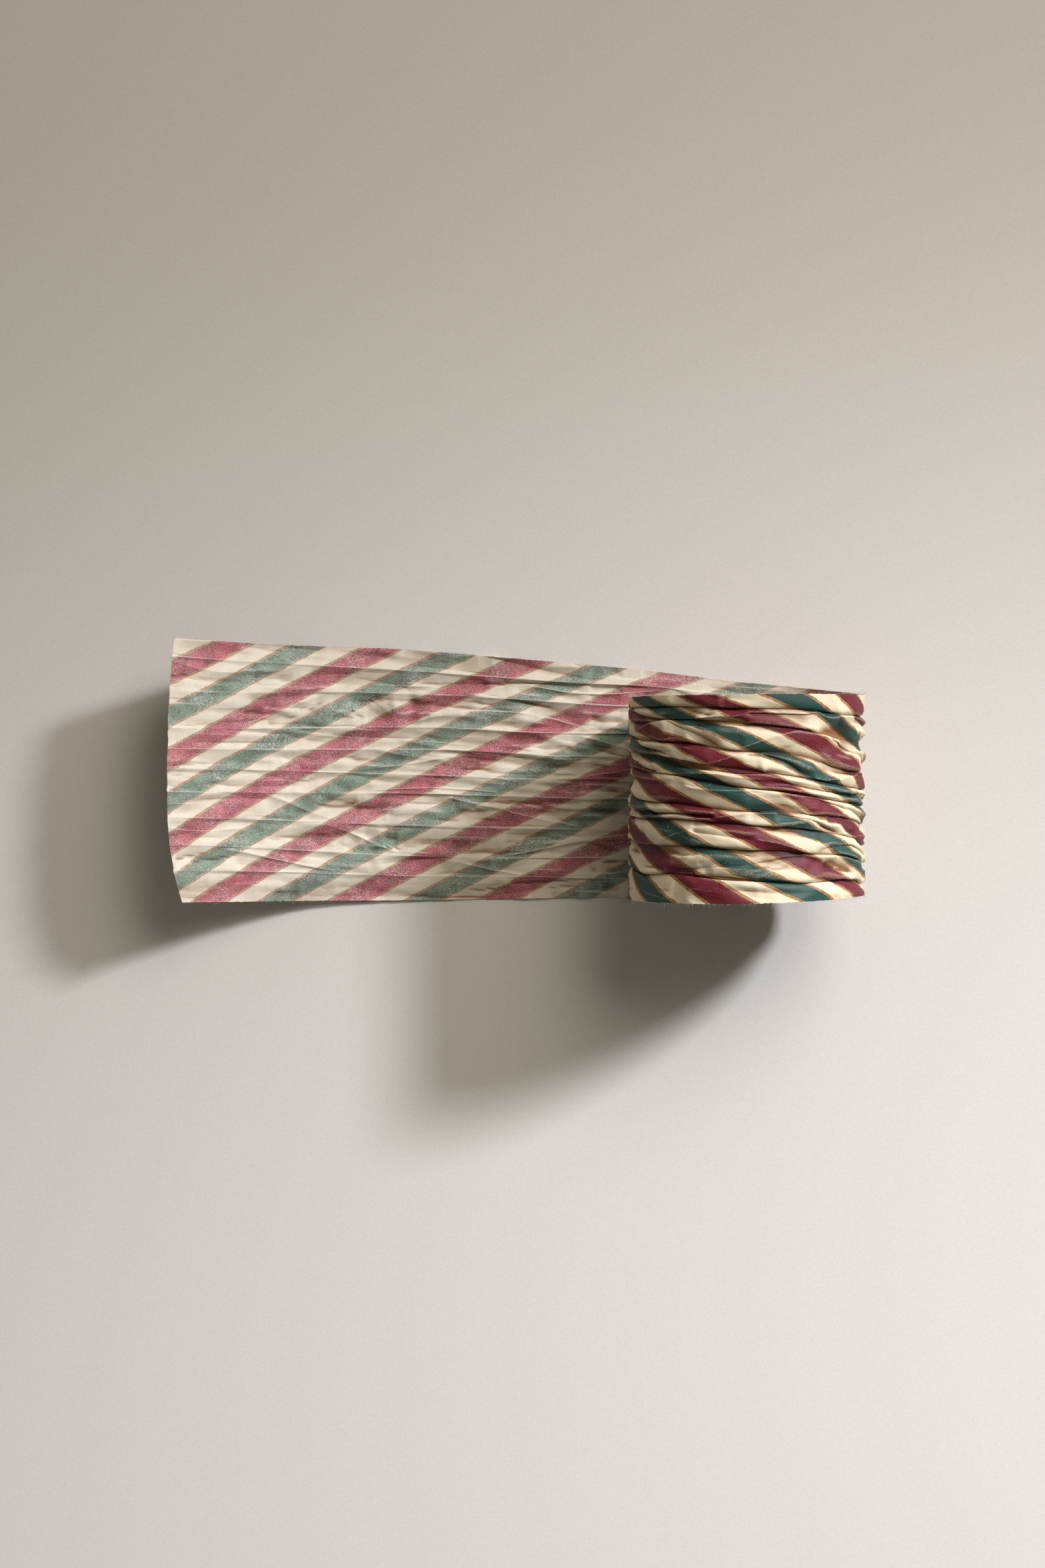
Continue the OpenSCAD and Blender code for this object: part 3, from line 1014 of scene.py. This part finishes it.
def board(name, light, dark, seam_at):
    """Brown board with a seam that winds round it, starting that share of a turn on."""
    graph = Graph(name)
    metres = graph.node("ShaderNodeTexCoord", {}, {}, 3)
    place = graph.stretch(metres, (1000, 1000, 1000))
    x, y, z = graph.parts(place, 3)
    turn = graph.sum("ARCTAN2", x, z) * (1 / (2 * math.pi))
    seam = abs((y * (1 / SEAM_CLIMB) + turn + seam_at).fract() - 0.5) * SEAM_CLIMB
    gap = seam.ramp(0.45, 0.15)
    long = graph.noise(graph.stretch(place, (0.5, 0.08, 0.5), 12), 1.4, 4.0, 0.65)
    pulp = graph.noise(place, 1.1, 5.0, 0.7)
    fleck = graph.noise(place, 2.6, 2.0, 0.5)
    base = graph.mix(long.ramp(0.35, 0.7), light, dark)
    base = graph.mix(fleck.ramp(0.62, 0.70) * 0.5, base, tint(92, 66, 44))
    base = graph.mix(fleck.ramp(0.36, 0.28) * 0.5, base, tint(222, 200, 164))
    base = graph.mix(gap * 0.75, base, tint(78, 56, 38))
    rough = 0.82 + pulp * 0.14
    return graph.finish({"Base Color": base, "Roughness": rough, "Specular IOR Level": 0.3},
                        pulp * 0.6 + long * 0.4 - gap * 0.8, 0.12)


def tape_face():
    """Thin tissue tape with glue showing through."""
    graph = Graph("tape face")
    metres = graph.node("ShaderNodeTexCoord", {}, {}, 3)
    place = graph.stretch(metres, (1000, 1000, 1000))
    tissue = graph.noise(place, 0.8, 4.0, 0.65)
    glue = graph.noise(place, 0.22, 3.0, 0.5)
    base = graph.mix(tissue.ramp(0.35, 0.65), tint(236, 232, 216), tint(214, 206, 180))
    base = graph.mix(glue.ramp(0.5, 0.7) * 0.4, base, tint(226, 204, 150))
    rough = 0.35 + tissue * 0.25
    return graph.finish({"Base Color": base, "Roughness": rough, "Coat Weight": 0.3}, tissue, 0.04)


FINISHES = {
    "core_inner_ply": board("board inside", tint(176, 146, 108), tint(150, 120, 84), 0.0),
    "core_middle_ply": board("board between", tint(146, 114, 78), tint(122, 92, 62), 0.35),
    "core_outer_ply": board("board outside", tint(162, 130, 92), tint(136, 106, 74), 0.7),
    "start_tape": tape_face(),
}
for node, finish in FINISHES.items():
    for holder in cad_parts[node].material_slots:
        holder.material = finish
print("finished CAD nodes:", sorted(FINISHES))

# %% [markdown]
# ## Light and table
# One strong lamp from the upper right makes the crisp folds and the long soft-edged shadows. A wide warm lamp
# and a dim sky keep the shadows open. The table is a pale sheet with a very fine grain; it isn't part of the
# object.

# %% Lights, floor and world


def aim(piece, at, target):
    """Stands a piece at one point and turns its -Z towards another."""
    piece.location = [c * MM for c in at]
    piece.rotation_euler = (Vector(target) - Vector(at)).to_track_quat("-Z", "Y").to_euler()


def lamp(name, kind, energy, colour, at, target):
    """A lamp of that kind, standing at one point and shining at another."""
    made = bpy.data.objects.new(name, bpy.data.lights.new(name, kind))
    made.data.energy = energy
    made.data.color = colour
    aim(made, at, target)
    bpy.context.collection.objects.link(made)
    return made


KEY_WAY = np.array([1.21, 0.90, 1.0])
KEY_AT = KEY_WAY / np.linalg.norm(KEY_WAY) * 1600
key = lamp("key", "SPOT", 187, (0.925, 0.93, 1.0), KEY_AT, (-670, -1478, TABLE))
key.data.shadow_soft_size = 0.133
key.data.spot_size = math.radians(62.9)
key.data.spot_blend = 1.0
fill = lamp("fill", "AREA", 7.8, (1.0, 0.90, 0.78), (397, 744, 1051), (-80, 0, TABLE))
fill.data.size = 0.7

world = bpy.data.worlds.new("world")
bpy.context.scene.world = world
world.use_nodes = True
world.node_tree.nodes["Background"].inputs["Color"].default_value = (1.0, 0.95, 0.80, 1.0)
world.node_tree.nodes["Background"].inputs["Strength"].default_value = 0.13
bpy.context.scene.view_settings.view_transform = "Standard"


def floor_face():
    """Pale matt board."""
    graph = Graph("floor")
    metres = graph.node("ShaderNodeTexCoord", {}, {}, 3)
    grain = graph.noise(metres, 2600.0, 2.0, 0.6)
    base = graph.mix(grain.ramp(0.3, 0.7), tint(226, 223, 218), tint(237, 234, 229))
    return graph.finish({"Base Color": base, "Roughness": 0.9})


FLOOR_HALF = 3000
FLOOR_Z = TABLE - 0.02
floor_corners = [(FLOOR_HALF * i, FLOOR_HALF * j, FLOOR_Z) for i, j in ((-1, -1), (1, -1), (1, 1), (-1, 1))]
floor = add_mesh("floor", floor_corners, [(0, 1, 2, 3)], [floor_face()])
print("lit by", key.name, "and", fill.name)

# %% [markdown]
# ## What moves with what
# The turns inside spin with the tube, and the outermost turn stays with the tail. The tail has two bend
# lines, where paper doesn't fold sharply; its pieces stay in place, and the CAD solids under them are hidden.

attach(coil, "coil")
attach(coil_fibres, "coil")
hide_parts("wound_ribbon")

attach(wrap, "ribbon")
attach(wrap_fibres, "ribbon")
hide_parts("outer_turn")

for piece in (run, run_fibres):
    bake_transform(piece)
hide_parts("ribbon_run", "tail_middle")

for piece in (tail, tail_fibres, end_fibres):
    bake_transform(piece)
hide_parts("tail_end")
